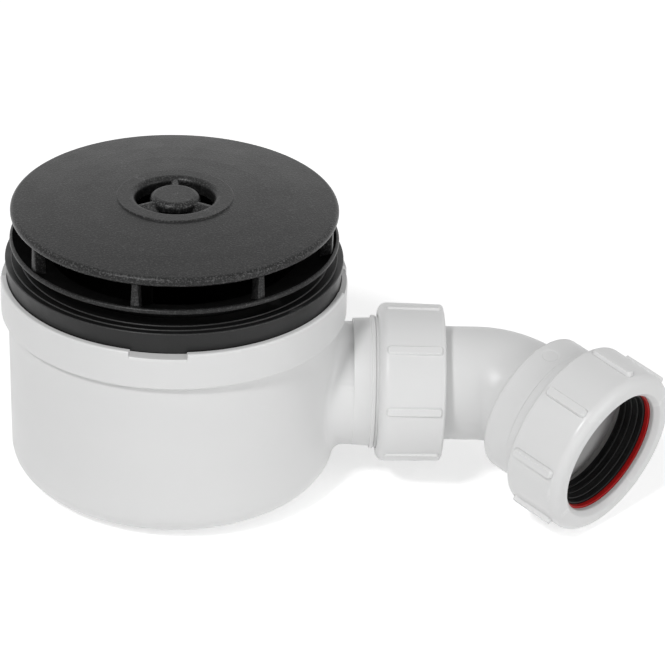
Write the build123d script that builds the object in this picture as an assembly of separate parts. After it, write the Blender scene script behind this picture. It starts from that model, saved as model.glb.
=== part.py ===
from build123d import *
import math
import os

os.makedirs("parts", exist_ok=True)

# Millimetres, +Z up. The origin is the middle of the trap's flat base, and the outlet leaves along +X.

# Rounds and overlaps that several pieces share
fine_round = 0.4
edge_round = 0.6
soft_round = 1.0
overlap = 1.0
round_flat = 0.02

# Clearances between pieces
thread_gap = 0.3
slip_gap = 0.35
face_gap = 0.25
seal_gap = 0.2
ring_gap = 0.05
pocket_gap = 0.4

# Trap bowl
wall = 2.8
floor_thickness = 3.0
shoulder_radius = 55.4
shoulder_height = 58.6
base_draft = 0.3
base_round = 9.5
cup_rib_count = 3
cup_rib_turn = 60.0
cup_rib_width = 2.0
cup_rib_length = 5.0
cup_rib_height = 6.0

# Inlet ring welded on top of the bowl
spigot_depth = 2.0
lip_overhang = 2.4
lip_wall = 2.05
lip_rise = 12.8
lip_round = 0.7
rim_floor = 2.6
groove_width = 2.75
deck_rise = 2.8
sleeve_pocket = 2.8
sleeve_drop = 1.6
notch_count = 4
notch_angle = 18.5
notch_turn = -94.0
notch_depth_inside = 0.5
notch_depth_outside = 2.1

# Seal under the tray
seal_thickness = 3.85
seal_overhang = 0.45
seal_inset = 1.0
bead_radius = 0.35
bead_insets = (2.3, 5.2)

# Clamp flange that holds the tray from above
tray_space = 5.7
ring_inset = 3.3
ring_thickness = 1.8
ring_flat_width = 2.1
ring_edge_width = 0.9
dish_fall = 4.6
dish_depth = 3.45
skirt_wall = 2.9
skirt_rise = 3.0
throat_round = 2.2
ledge_width = 2.6
ledge_thickness = 2.4
fin_count = 8
fin_turn = -12.5
fin_inset = 1.3
fin_length = 4.0
fin_foot_width = 3.2
fin_top_width = 2.0
fin_root = 0.7

# Lift-off cover
slot_height = 7.7
cover_inset = 0.35
cover_thickness = 3.2
cover_dome = 2.55
cover_rim_width = 8.15
dome_knee_inset = 18.15
dome_knee_rise = 1.95
dome_round = 400.0
recess_depth = 1.5
boss_width = 6.25
boss_height = 0.6
boss_round = 0.3
boss_foot_round = 0.3
finger_hole_radius = 13.0
finger_hole_round = 2.0
finger_gap = 4.7
knob_rise = 0.3
knob_head = 2.3
knob_round = 1.2
knob_overhang = 2.1
knob_neck_round = 1.6
web_count = 3
web_turn = 91.0
web_top_width = 2.4
web_top_round = 0.9
web_foot_width = 7.0
web_drop = 0.7
leg_count = 3
leg_angle = 14.0
leg_turn = 14.0
leg_wall = 2.2
leg_clearance = 4.0

# Removable water cup and dip tube
cup_passage = 14.8
cup_wall = 2.0
cup_drop = 4.6
cup_round = 5.0
tube_bore_radius = 16.0
tube_wall = 2.0
tube_bottom = 9.0
funnel_rim_wall = 2.6
funnel_rim_height = 7.6
funnel_fall = 5.0
funnel_wall = 2.2
funnel_round = 2.0
funnel_rim_round = 0.8
funnel_floor_round = 1.5
ring_groove_rise = 3.8
ring_section_radius = 0.95
vane_count = 3
vane_thickness = 1.6
vane_bottom = 14.0
vane_drop = 6.0

# Outlet neck of the bowl, along +X
outlet_bore_radius = 17.6
outlet_clearance = 8.6
neck_wall = 4.0
neck_length = 5.0
neck_step = 0.15
neck_flat = 1.4
neck_blend = 4.0
collar_length = 6.0
collar_flare = 0.25
bead_step = 0.5
neck_bead_width = 1.5
neck_thread_step = 0.6
neck_thread_length = 14.1
neck_end_round = 0.8

# Union nut on the outlet neck
nut_rib_count = 8
union_gap = 0.9
union_wall = 4.55
union_taper = 0.5
union_rear_round = 3.2
union_front_round = 1.2
union_rib_rise = 0.5
union_rib_width = 3.2
union_rib_rear = 2.5
union_rib_front = 1.1
union_turn = 37.5
union_lip = 3.7
washer_thickness = 2.0

# Outlet bend
bend_wall = 2.3
bend_flange_width = 2.9
bend_flange_thickness = 2.8
bend_reach = 21.7
bend_radius = 24.0
bend_angle = 45.0
bend_swivel = 13.3
socket_start = 12.5
socket_length = 10.3
socket_rear_round = 1.2
socket_bead_width = 3.2
socket_thread_length = 16.0
socket_bore_radius = 22.4
socket_wall = 2.1
socket_rise = 0.4
socket_depth = 12.0
socket_step = 2.0
ejector_inset = 5.5
ejector_angle = -90.0
ejector_radius = 3.0
ejector_depth = 0.25

# Compression nut, slip washer and pipe seal
clamp_gap = 1.5
clamp_wall = 5.2
clamp_taper = 0.3
clamp_rear_round = 1.2
clamp_front_round = 3.4
clamp_rib_rise = 1.35
clamp_rib_width = 3.4
clamp_rib_rear = 2.0
clamp_rib_front = 3.3
clamp_turn = -16.0
clamp_lip = 3.1
mouth_inset = 0.3
mouth_chamfer = 0.8
slip_washer_thickness = 1.7
slip_washer_lip = 0.5
pipe_seal_flange = 1.95
pipe_seal_gap = 2.7
pipe_seal_grip = 0.7
pipe_seal_taper = 1.4
pipe_seal_ridges = 3
pipe_seal_ridge_radius = 0.35

rib_corner_round = 1.2
rib_edge_round = 0.6

# Radii of the body and of what sits in its mouth, from the bowl inwards
base_radius = shoulder_radius - base_draft
rim_radius = shoulder_radius + lip_overhang
rim_bore_radius = rim_radius - lip_wall
upper_radius = rim_bore_radius - groove_width
upper_bore_radius = upper_radius - wall
sleeve_radius = upper_bore_radius - sleeve_pocket
sleeve_bore_radius = sleeve_radius - wall
seal_top_radius = rim_bore_radius + seal_overhang
seal_bore_radius = sleeve_bore_radius + seal_inset
skirt_radius = sleeve_bore_radius - thread_gap
throat_radius = skirt_radius - skirt_wall
funnel_radius = throat_radius - pocket_gap
ring_radius = rim_radius - ring_inset
ring_flat_radius = ring_radius - ring_flat_width
dish_radius = ring_radius - ring_edge_width
fin_outer_radius = ring_radius - fin_inset
cover_radius = ring_radius - cover_inset
recess_radius = cover_radius - cover_rim_width
dome_knee_radius = cover_radius - dome_knee_inset
boss_radius = finger_hole_radius + boss_width
knob_radius = finger_hole_radius - finger_gap
knob_neck_radius = knob_radius - knob_overhang
cup_radius = shoulder_radius - wall - cup_passage
cup_bore_radius = cup_radius - cup_wall
tube_radius = tube_bore_radius + tube_wall

# Heights, from the bowl upwards
cup_top = shoulder_height - cup_drop
vane_top = cup_top - vane_drop
sleeve_bottom = shoulder_height - sleeve_drop
groove_floor = shoulder_height + rim_floor
lip_height = shoulder_height + lip_rise
deck_height = lip_height + deck_rise
seal_height = deck_height + seal_thickness
skirt_bottom = sleeve_bottom + skirt_rise
ledge_top = skirt_bottom + ledge_thickness
ring_groove_height = ledge_top + ring_groove_rise
funnel_rim_top = ledge_top + funnel_rim_height
leg_bottom = funnel_rim_top + leg_clearance
ring_underside = seal_height + tray_space
ring_top = ring_underside + ring_thickness
dish_underside = ring_underside - dish_depth
cover_underside = ring_top + slot_height
cover_top = cover_underside + cover_thickness
recess_top = cover_underside + recess_depth
boss_top = cover_top + cover_dome + boss_height

# Outlet, measured along +X from the body's axis
collar_radius = outlet_bore_radius + neck_wall
outlet_height = collar_radius + outlet_clearance
collar_start = shoulder_radius + neck_length
neck_bead_start = collar_start + collar_length
neck_bead_end = neck_bead_start + neck_bead_width
neck_end = neck_bead_end + neck_thread_length
neck_thread_radius = collar_radius + neck_thread_step
neck_bead_radius = neck_thread_radius + bead_step
bend_flange_start = neck_end + washer_thickness + seal_gap
bend_flange_end = bend_flange_start + bend_flange_thickness
bend_tube_radius = neck_thread_radius - bend_flange_width
union_start = neck_bead_end + union_gap
union_lip_start = bend_flange_end + thread_gap
union_end = union_lip_start + union_lip
union_bore_radius = neck_thread_radius + slip_gap
union_rear_radius = union_bore_radius + union_wall
union_front_radius = union_rear_radius - union_taper
union_rib_radius = union_rear_radius + union_rib_rise
union_rib_start = union_start + union_rib_rear
union_rib_end = union_end - union_rib_front
bend_corner = union_end + bend_reach

# Socket and nut, measured along the pipe from the bend's corner
socket_bead_start = socket_start + socket_length
socket_bead_end = socket_bead_start + socket_bead_width
socket_end = socket_bead_end + socket_thread_length
socket_floor = socket_end - socket_depth
socket_thread_radius = socket_bore_radius + socket_wall
socket_radius = socket_thread_radius + socket_rise
socket_bead_radius = socket_radius + bead_step
ejector_place = socket_start + ejector_inset
slip_washer_start = socket_end + pipe_seal_flange
slip_washer_end = slip_washer_start + slip_washer_thickness
clamp_start = socket_bead_end + clamp_gap
clamp_lip_start = slip_washer_end + face_gap
clamp_end = clamp_lip_start + clamp_lip
clamp_bore_radius = socket_thread_radius + slip_gap
clamp_rear_radius = clamp_bore_radius + clamp_wall
clamp_front_radius = clamp_rear_radius - clamp_taper
clamp_rib_radius = clamp_rear_radius + clamp_rib_rise
clamp_rib_start = clamp_start + clamp_rib_rear
clamp_rib_end = clamp_end - clamp_rib_front
mouth_radius = socket_bore_radius - mouth_inset
slip_washer_bore_radius = mouth_radius - slip_washer_lip
pipe_seal_bore_radius = slip_washer_bore_radius - pipe_seal_grip
pipe_seal_tip_radius = pipe_seal_bore_radius - pipe_seal_taper
pipe_seal_start = socket_floor + socket_step + pipe_seal_gap

outlet_axis = Vector(1, 0, 0)
swivel = math.radians(bend_swivel)
bend_side = Vector(0, -math.cos(swivel), -math.sin(swivel))
turn = math.radians(bend_angle)
pipe_axis = outlet_axis * math.cos(turn) + bend_side * math.sin(turn)
corner_point = Vector(bend_corner, 0, outlet_height)
pipe_side = bend_side * math.cos(turn) - outlet_axis * math.sin(turn)

outlet_plane = Plane(origin=(0, 0, outlet_height), x_dir=(0, 1, 0), z_dir=outlet_axis)
pipe_plane = Plane(origin=corner_point, x_dir=pipe_side, z_dir=pipe_axis)


def profile(*corners):
    """Closed face from (radius, height) corners, each with an optional corner radius."""
    points = [Vector(corner[0], corner[1]) for corner in corners]
    rounds = [corner[2] if len(corner) > 2 else 0 for corner in corners]
    count = len(points)
    edges = []
    ends = []
    for i in range(count):
        here = points[i]
        if rounds[i] == 0:
            ends.append((here, here))
            continue
        back = (points[i - 1] - here).normalized()
        ahead = (points[(i + 1) % count] - here).normalized()
        half = math.acos(max(-1.0, min(1.0, back.dot(ahead)))) / 2
        reach = rounds[i] / math.tan(half)
        middle = here + (back + ahead).normalized() * (rounds[i] / math.sin(half))
        first = here + back * reach
        last = here + ahead * reach
        top = middle + (here - middle).normalized() * rounds[i]
        edges.append(ThreePointArc(first, top, last))
        ends.append((first, last))
    for i in range(count):
        start = ends[i][1]
        stop = ends[(i + 1) % count][0]
        if (stop - start).length > 0.0001:
            edges.append(Line(start, stop))
    return make_face(edges)


def turned(*corners):
    """Solid of revolution about Z."""
    return revolve(Plane.XZ * profile(*corners), axis=Axis.Z)


def around(piece, count, start):
    """Copies of a piece spaced evenly about Z."""
    return [Rot(0, 0, start + 360 * i / count) * piece for i in range(count)]


def tube(inner, outer, bottom, top):
    """Plain ring about Z."""
    return turned((inner, bottom), (outer, bottom), (outer, top), (inner, top))


def radial_bar(near, far, bottom, top, foot_width, top_width):
    """Bar along +X with a tapered section."""
    half_foot = foot_width / 2
    half_top = top_width / 2
    corners = [(-half_foot, bottom), (half_foot, bottom), (half_top, top), (-half_top, top)]
    section = make_face(Polyline(corners, close=True))
    return extrude(Plane.YZ.offset(near) * section, far - near)


def grip_rib(radius, depth, start, end, width):
    """Round-ended rib along Z, standing out to the given radius on the +X side."""
    length = end - start
    plane = Plane(origin=(radius - depth, 0, start + length / 2), x_dir=(0, 0, 1), z_dir=(1, 0, 0))
    rib = extrude(plane * RectangleRounded(length, width, rib_corner_round), depth)
    return fillet(rib.faces().sort_by(Axis.X)[-1].edges(), rib_edge_round)


def make_body():
    """Bowl with the outlet neck blended into its side."""
    bowl = turned(
        (0, 0),
        (base_radius, 0, base_round),
        (shoulder_radius, shoulder_height),
        (0, shoulder_height),
    )
    outside = bowl + make_neck()
    # where the neck leaves the bowl is the only seam that is neither straight, round nor elliptical
    seam = outside.edges().filter_by(GeomType.BSPLINE)
    outside = fillet(seam, neck_blend)
    cavity = turned(
        (0, floor_thickness),
        (base_radius - wall, floor_thickness, base_round - wall),
        (shoulder_radius - wall, shoulder_height),
        (shoulder_radius - wall, shoulder_height + overlap),
        (0, shoulder_height + overlap),
    )
    bore = outlet_plane * Cylinder(
        outlet_bore_radius, neck_end + overlap, align=(Align.CENTER, Align.CENTER, Align.MIN)
    )
    rib_start = cup_radius + slip_gap
    rib = radial_bar(
        rib_start,
        rib_start + cup_rib_length,
        floor_thickness - overlap,
        floor_thickness + cup_rib_height,
        cup_rib_width,
        cup_rib_width,
    )
    return outside - cavity - bore + around(rib, cup_rib_count, cup_rib_turn)


def make_neck():
    """Outlet neck, round below and a little flattened on top, with its collar, bead and thread."""
    neck_radius = collar_radius - neck_step
    neck_rise = collar_radius - neck_flat
    lower_half = CenterArc((0, 0), neck_radius, 180, 180)
    upper_half = EllipticalCenterArc((0, 0), neck_radius, neck_rise, start_angle=0, arc_size=180)
    section = make_face([lower_half, upper_half])
    neck_start = shoulder_radius / 2
    neck = extrude(outlet_plane.offset(neck_start) * section, collar_start - neck_start)
    collar = turned(
        (0, collar_start),
        (collar_radius, collar_start),
        (collar_radius + collar_flare, neck_bead_start),
        (neck_bead_radius, neck_bead_start, fine_round),
        (neck_bead_radius, neck_bead_end, fine_round),
        (neck_thread_radius, neck_bead_end),
        (neck_thread_radius, neck_end, neck_end_round),
        (0, neck_end),
    )
    return neck + outlet_plane * collar


def make_inlet_ring():
    """Ring with the seal's groove outside and the threaded sleeve inside."""
    spigot_radius = shoulder_radius - wall - seal_gap
    spigot_bottom = shoulder_height - spigot_depth
    ring = turned(
        (upper_bore_radius, spigot_bottom),
        (spigot_radius, spigot_bottom, edge_round),
        (spigot_radius, shoulder_height),
        (rim_radius, shoulder_height, edge_round),
        (rim_radius, lip_height, lip_round),
        (rim_bore_radius, lip_height),
        (rim_bore_radius, groove_floor),
        (upper_radius, groove_floor),
        (upper_radius, deck_height, soft_round),
        (sleeve_bore_radius, deck_height),
        (sleeve_bore_radius, sleeve_bottom),
        (sleeve_radius, sleeve_bottom),
        (sleeve_radius, deck_height - wall),
        (upper_bore_radius, deck_height - wall),
    )
    notch_profile = profile(
        (rim_bore_radius - overlap, lip_height - notch_depth_inside),
        (rim_bore_radius, lip_height - notch_depth_inside),
        (rim_radius, lip_height - notch_depth_outside),
        (rim_radius + overlap, lip_height - notch_depth_outside),
        (rim_radius + overlap, lip_height + overlap),
        (rim_bore_radius - overlap, lip_height + overlap),
    )
    notch = revolve(Plane.XZ * notch_profile, axis=Axis.Z, revolution_arc=notch_angle)
    return ring - around(notch, notch_count, notch_turn - notch_angle / 2)


def make_body_seal():
    skirt_bore = upper_radius + seal_gap
    outer_radius = rim_bore_radius - seal_gap
    seal = turned(
        (seal_bore_radius, deck_height),
        (skirt_bore, deck_height),
        (skirt_bore, groove_floor),
        (outer_radius, groove_floor),
        (outer_radius, lip_height),
        (seal_top_radius, seal_height, fine_round),
        (seal_bore_radius, seal_height),
    )
    for inset in bead_insets:
        seal += Pos(0, 0, seal_height) * Torus(seal_top_radius - inset, bead_radius)
    return seal


def make_clamp_flange():
    rim_round = (ring_thickness - round_flat) / 2
    dish_bottom = ring_top - dish_fall
    flange = turned(
        (skirt_radius, dish_underside),
        (ring_flat_radius, ring_underside),
        (ring_radius, ring_underside, rim_round),
        (ring_radius, ring_top, rim_round),
        (dish_radius, ring_top),
        (throat_radius, dish_bottom, throat_round),
        (throat_radius, ledge_top),
        (throat_radius - ledge_width, ledge_top),
        (throat_radius - ledge_width, skirt_bottom),
        (skirt_radius, skirt_bottom, soft_round),
    )
    bar = radial_bar(
        fin_outer_radius - fin_length,
        fin_outer_radius,
        ring_underside - overlap,
        cover_underside,
        fin_foot_width,
        fin_top_width,
    )
    upright = [edge for edge in bar.edges() if edge.bounding_box().size.Z > fin_length]
    above_dish = turned(
        (throat_radius, dish_bottom - fin_root),
        (dish_radius, ring_top - fin_root),
        (dish_radius, cover_underside),
        (throat_radius, cover_underside),
    )
    fin = fillet(upright, fine_round) & above_dish
    return flange + around(fin, fin_count, fin_turn)


def make_cover():
    rim_round = (cover_thickness - round_flat) / 2
    cover = turned(
        (finger_hole_radius, recess_top),
        (recess_radius, recess_top),
        (recess_radius, cover_underside),
        (cover_radius, cover_underside, rim_round),
        (cover_radius, cover_top, rim_round),
        (dome_knee_radius, cover_top + dome_knee_rise, dome_round),
        (boss_radius, cover_top + cover_dome, boss_foot_round),
        (boss_radius, boss_top, boss_round),
        (finger_hole_radius, boss_top, finger_hole_round),
    )
    knob_top = boss_top + knob_rise
    head_bottom = knob_top - knob_head
    knob = turned(
        (0, recess_top),
        (knob_neck_radius, recess_top),
        (knob_neck_radius, head_bottom, knob_neck_round),
        (knob_radius, head_bottom, fine_round),
        (knob_radius, knob_top, knob_round),
        (0, knob_top),
    )
    web = radial_bar(
        knob_neck_radius - overlap,
        finger_hole_radius + overlap,
        recess_top,
        boss_top - web_drop,
        web_foot_width,
        web_top_width,
    )
    ridge = web.edges().filter_by(Axis.X).sort_by(Axis.Z)[-2:]
    web = fillet(ridge, web_top_round)
    leg_radius = throat_radius - slip_gap
    leg_profile = profile(
        (leg_radius - leg_wall, leg_bottom),
        (leg_radius, leg_bottom, soft_round),
        (leg_radius, recess_top + overlap),
        (leg_radius - leg_wall, recess_top + overlap),
    )
    leg = revolve(Plane.XZ * leg_profile, axis=Axis.Z, revolution_arc=leg_angle)
    cover = cover + knob + around(web, web_count, web_turn)
    return cover + around(leg, leg_count, leg_turn - leg_angle / 2)


def make_seal_cup():
    return turned(
        (0, floor_thickness),
        (cup_radius, floor_thickness, cup_round),
        (cup_radius, cup_top, edge_round),
        (cup_bore_radius, cup_top, edge_round),
        (cup_bore_radius, floor_thickness + cup_wall, cup_round - cup_wall),
        (0, floor_thickness + cup_wall),
    )


def make_dip_tube():
    rim_bore = funnel_radius - funnel_rim_wall
    funnel_top = ledge_top + funnel_wall
    groove_bottom = throat_radius - 2 * ring_section_radius - 2 * ring_gap
    groove_half = ring_section_radius + seal_gap
    shell = turned(
        (tube_bore_radius, tube_bottom),
        (tube_radius, tube_bottom),
        (tube_radius, ledge_top - funnel_fall, funnel_round),
        (throat_radius - ledge_width - slip_gap, ledge_top),
        (funnel_radius, ledge_top),
        (funnel_radius, ring_groove_height - groove_half),
        (groove_bottom, ring_groove_height - groove_half),
        (groove_bottom, ring_groove_height + groove_half),
        (funnel_radius, ring_groove_height + groove_half),
        (funnel_radius, funnel_rim_top, funnel_rim_round),
        (rim_bore, funnel_rim_top, funnel_rim_round),
        (rim_bore, funnel_top, funnel_floor_round),
        (tube_bore_radius, funnel_top - funnel_fall, funnel_round),
    )
    vane = radial_bar(
        tube_bore_radius + tube_wall / 2,
        cup_bore_radius - pocket_gap,
        vane_bottom,
        vane_top,
        vane_thickness,
        vane_thickness,
    )
    return shell + around(vane, vane_count, 0)


def make_dip_tube_ring():
    centre_radius = throat_radius - ring_section_radius - ring_gap
    return Pos(0, 0, ring_groove_height) * Torus(centre_radius, ring_section_radius)


def make_union_nut():
    lip_bore = bend_tube_radius + slip_gap
    nut = turned(
        (union_bore_radius, union_start, edge_round),
        (union_rear_radius, union_start, union_rear_round),
        (union_front_radius, union_end, union_front_round),
        (lip_bore, union_end, edge_round),
        (lip_bore, union_lip_start),
        (union_bore_radius, union_lip_start),
    )
    rib_depth = union_rib_radius - union_bore_radius - overlap
    rib = grip_rib(union_rib_radius, rib_depth, union_rib_start, union_rib_end, union_rib_width)
    return outlet_plane * (nut + around(rib, nut_rib_count, union_turn))


def make_union_seal():
    bore_radius = outlet_bore_radius + pocket_gap
    outer_radius = neck_thread_radius - pocket_gap
    return outlet_plane * tube(bore_radius, outer_radius, neck_end, neck_end + washer_thickness)


def make_bend():
    """Flanged tube swept round the corner into the thicker socket."""
    reach = bend_radius * math.tan(turn / 2)
    first = Vector(bend_flange_start, 0, outlet_height)
    arc_start = corner_point - outlet_axis * reach
    arc_end = corner_point + pipe_axis * reach
    middle = arc_start + bend_side * bend_radius
    arc_top = middle + (corner_point - middle).normalized() * bend_radius
    socket_back = corner_point + pipe_axis * (socket_start + 2 * overlap)
    elbow = ThreePointArc(arc_start, arc_top, arc_end)
    path = Wire([Line(first, arc_start), elbow, Line(arc_end, socket_back)])
    start_plane = Plane(origin=first, x_dir=(0, 1, 0), z_dir=outlet_axis)
    bore_radius = bend_tube_radius - bend_wall
    outer = sweep(start_plane * Circle(bend_tube_radius), path=path)
    inner = sweep(start_plane * Circle(bore_radius), path=path)
    flange_radius = neck_thread_radius - pocket_gap
    flange = outlet_plane * turned(
        (0, bend_flange_start),
        (flange_radius, bend_flange_start),
        (flange_radius, bend_flange_end, edge_round),
        (0, bend_flange_end),
    )
    socket = turned(
        (0, socket_start),
        (socket_radius, socket_start, socket_rear_round),
        (socket_radius, socket_bead_start),
        (socket_bead_radius, socket_bead_start, fine_round),
        (socket_bead_radius, socket_bead_end, edge_round),
        (socket_thread_radius, socket_bead_end),
        (socket_thread_radius, socket_end, edge_round),
        (0, socket_end),
    )
    hollow = turned(
        (0, socket_start + overlap),
        (bore_radius, socket_start + overlap),
        (bore_radius, socket_floor),
        (socket_bore_radius, socket_floor + socket_step),
        (socket_bore_radius, socket_end + overlap),
        (0, socket_end + overlap),
    )
    mark_floor = (socket_radius - ejector_depth, 0, ejector_place)
    mark_plane = Plane(origin=mark_floor, x_dir=(0, 1, 0), z_dir=(1, 0, 0))
    mark = Rot(0, 0, ejector_angle) * extrude(mark_plane * Circle(ejector_radius), overlap)
    return outer + flange + pipe_plane * (socket - mark) - inner - pipe_plane * hollow


def make_compression_nut():
    nut = turned(
        (clamp_bore_radius, clamp_start, edge_round),
        (clamp_rear_radius, clamp_start, clamp_rear_round),
        (clamp_front_radius, clamp_end, clamp_front_round),
        (mouth_radius + mouth_chamfer, clamp_end),
        (mouth_radius, clamp_end - mouth_chamfer),
        (mouth_radius, clamp_lip_start),
        (clamp_bore_radius, clamp_lip_start),
    )
    rib_depth = clamp_rib_radius - clamp_bore_radius - overlap
    rib = grip_rib(clamp_rib_radius, rib_depth, clamp_rib_start, clamp_rib_end, clamp_rib_width)
    return pipe_plane * (nut + around(rib, nut_rib_count, clamp_turn))


def make_slip_washer():
    return pipe_plane * tube(
        slip_washer_bore_radius, socket_thread_radius - seal_gap, slip_washer_start, slip_washer_end
    )


def make_pipe_seal():
    plug_radius = socket_bore_radius - seal_gap
    flange_radius = socket_thread_radius - seal_gap
    seal = turned(
        (pipe_seal_tip_radius, pipe_seal_start, fine_round),
        (plug_radius, pipe_seal_start, soft_round),
        (plug_radius, socket_end),
        (flange_radius, socket_end),
        (flange_radius, slip_washer_start),
        (pipe_seal_bore_radius, slip_washer_start, fine_round),
    )
    slope = (pipe_seal_tip_radius - pipe_seal_bore_radius) / (pipe_seal_start - slip_washer_start)
    pitch = (slip_washer_start - pipe_seal_start) / (pipe_seal_ridges + 1)
    for i in range(pipe_seal_ridges):
        place = slip_washer_start - pitch * (i + 1)
        radius = pipe_seal_bore_radius + slope * (place - slip_washer_start)
        seal += Pos(0, 0, place) * Torus(radius, pipe_seal_ridge_radius)
    return pipe_plane * seal


pieces = {
    "trap_body": make_body(),
    "inlet_ring": make_inlet_ring(),
    "body_seal": make_body_seal(),
    "clamp_flange": make_clamp_flange(),
    "top_cover": make_cover(),
    "seal_cup": make_seal_cup(),
    "dip_tube": make_dip_tube(),
    "dip_tube_ring": make_dip_tube_ring(),
    "union_nut": make_union_nut(),
    "union_seal": make_union_seal(),
    "outlet_bend": make_bend(),
    "compression_nut": make_compression_nut(),
    "slip_washer": make_slip_washer(),
    "pipe_seal": make_pipe_seal(),
}

for name, shape in pieces.items():
    export_step(shape, f"parts/{name}.step")
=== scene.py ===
import bpy
import bmesh
from math import asin, atan2, ceil, cos, degrees, hypot, pi, radians, sin, sqrt, tan
from mathutils import Matrix, Vector


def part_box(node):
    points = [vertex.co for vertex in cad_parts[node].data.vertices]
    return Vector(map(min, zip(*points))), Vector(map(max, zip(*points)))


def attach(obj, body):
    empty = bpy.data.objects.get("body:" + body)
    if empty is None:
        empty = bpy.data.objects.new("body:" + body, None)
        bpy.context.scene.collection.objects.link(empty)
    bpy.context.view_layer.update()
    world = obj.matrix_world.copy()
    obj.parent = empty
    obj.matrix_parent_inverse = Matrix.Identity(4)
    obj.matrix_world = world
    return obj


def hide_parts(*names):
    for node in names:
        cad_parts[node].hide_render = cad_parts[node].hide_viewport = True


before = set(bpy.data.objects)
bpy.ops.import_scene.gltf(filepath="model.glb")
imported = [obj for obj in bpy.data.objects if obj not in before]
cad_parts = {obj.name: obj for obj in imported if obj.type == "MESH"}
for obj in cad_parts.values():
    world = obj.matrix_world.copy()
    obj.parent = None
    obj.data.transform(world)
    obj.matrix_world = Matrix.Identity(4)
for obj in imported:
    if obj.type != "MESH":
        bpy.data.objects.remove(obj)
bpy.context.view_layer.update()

mm = 0.001  # the sizes below are millimetres, the meshes are metres
fullTurn = 2 * pi
nearly = 0.01  # slack where a point is tested against a size
angleSlack = 0.0001  # keeps a column that stands on the window's edge
holdRow = 0.12  # a close row at each end of a run keeps flats flat when shaded smooth
plainRow = 40.0  # row step that leaves short runs undivided
weldGap = 0.0005  # points closer than this are one
seamGap = 0.002  # the same between neighbouring copies of a ring
sharpDeg = 32.0  # steeper edges stay sharp

# the outlet runs along +X, and the bend takes it forward, out and slightly down
outlet = {"height": 30.2, "corner": 112.7, "bendAngle": 45.0, "swivel": 13.3, "bendRadius": 24.0}


def axisFrame(origin, across, along):
    turn = Matrix((across, along.cross(across), along)).transposed().to_4x4()
    turn.translation = origin
    return turn


def outletFrames():
    swivel = radians(outlet["swivel"])
    bendTurn = radians(outlet["bendAngle"])
    along = Vector((1, 0, 0))
    side = Vector((0, -cos(swivel), -sin(swivel)))
    pipeAlong = along * cos(bendTurn) + side * sin(bendTurn)
    pipeSide = side * cos(bendTurn) - along * sin(bendTurn)
    straight = axisFrame(Vector((0, 0, outlet["height"])), Vector((0, 1, 0)), along)
    pipe = axisFrame(Vector((outlet["corner"], 0, outlet["height"])), pipeSide, pipeAlong)
    return straight, pipe, side


upright = Matrix.Identity(4)
outletFrame, pipeFrame, bendSide = outletFrames()


# outlines are closed lists of (radius, height); a third number rounds that corner
def roundedOutline(corners, stepDeg=9.0, fewest=3):
    points = []
    count = len(corners)
    for i, corner in enumerate(corners):
        here = Vector(corner[:2])
        if len(corner) < 3:
            points.append(here)
            continue
        back = (Vector(corners[i - 1][:2]) - here).normalized()
        ahead = (Vector(corners[(i + 1) % count][:2]) - here).normalized()
        half = back.angle(ahead) / 2
        middle = here + (back + ahead).normalized() * (corner[2] / sin(half))
        first = here + back * (corner[2] / tan(half)) - middle
        turn = pi - 2 * half
        hand = 1 if back.cross(ahead) < 0 else -1
        steps = max(fewest, round(degrees(turn) / stepDeg))
        for k in range(steps + 1):
            points.append(middle + Matrix.Rotation(hand * turn * k / steps, 2) @ first)
    return points


# long runs get rows between, from a radius outwards, and the close rows at their ends
def splitRuns(points, longest, beyond, closed):
    result = []
    for here, ahead in zip(points, points[1:] + points[:1] if closed else points[1:]):
        result.append(here)
        length = (ahead - here).length
        if length < 4 * holdRow:
            continue
        inner = length - 2 * holdRow
        wanted = longest if min(here.x, ahead.x) >= beyond else length
        steps = max(1, ceil(inner / wanted))
        for k in range(steps + 1):
            result.append(here.lerp(ahead, (holdRow + inner * k / steps) / length))
    return result if closed else result + points[-1:]


# a name in a corner stands for that size of its piece
def sized(piece, corners):
    return [tuple(piece[v] if isinstance(v, str) else v for v in corner) for corner in corners]


def profile(piece, corners, longest=plainRow, beyond=0.0, closed=True):
    return splitRuns(roundedOutline(sized(piece, corners)), longest, beyond, closed)


def arcPoints(middle, radius, startDeg, steps):  # half a circle, for beads and ridges
    swings = [radians(startDeg + 180 * k / steps) for k in range(steps + 1)]
    return [middle + Vector((radius * cos(s), radius * sin(s))) for s in swings]


def evenAngles(count):
    return [fullTurn * i / count for i in range(count)]


def polar(radius, angle, height=0.0):
    return Vector((radius * cos(angle), radius * sin(angle), height))


# turns an outline about Z; shape may move a point, path may bend the axis, and a marking test picks faces for
# a painted-shade finish
def spin(outline, angles, shape=None, path=None, whole=True, inside=None):
    bm = bmesh.new()
    mark = bm.verts.layers.float.new("inside")
    rings = []
    for radius, height in outline:
        if radius < nearly:
            rings.append([bm.verts.new((0, 0, height))])
            continue
        ring = []
        for angle in angles:
            out, up = shape(radius, height, angle) if shape else (radius, height)
            vert = bm.verts.new(path(up) @ polar(out, angle) if path else polar(out, angle, up))
            vert[mark] = 1.0 if inside and inside(radius, height, angle) else 0.0
            ring.append(vert)
        rings.append(ring)
    for near, far in zip(rings, rings[1:] + rings[:1]):
        bridge(bm, near, far, whole)
    return bm, rings


def bridge(bm, near, far, whole=True):
    count = max(len(near), len(far))
    if count == 1:
        return
    for i in range(count if whole else count - 1):
        j = (i + 1) % count
        corners = [near[i % len(near)], near[j % len(near)], far[j % len(far)], far[i % len(far)]]
        distinct = [v for n, v in enumerate(corners) if v not in corners[:n]]
        if len(distinct) > 2 and not bm.faces.get(distinct):
            bm.faces.new(distinct)


def loft(sections):
    bm = bmesh.new()
    rings = [[bm.verts.new(p) for p in section] for section in sections]
    for near, far in zip(rings, rings[1:]):
        bridge(bm, near, far)
    bm.faces.new(rings[0])
    bm.faces.new(rings[-1])
    return bm


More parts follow.
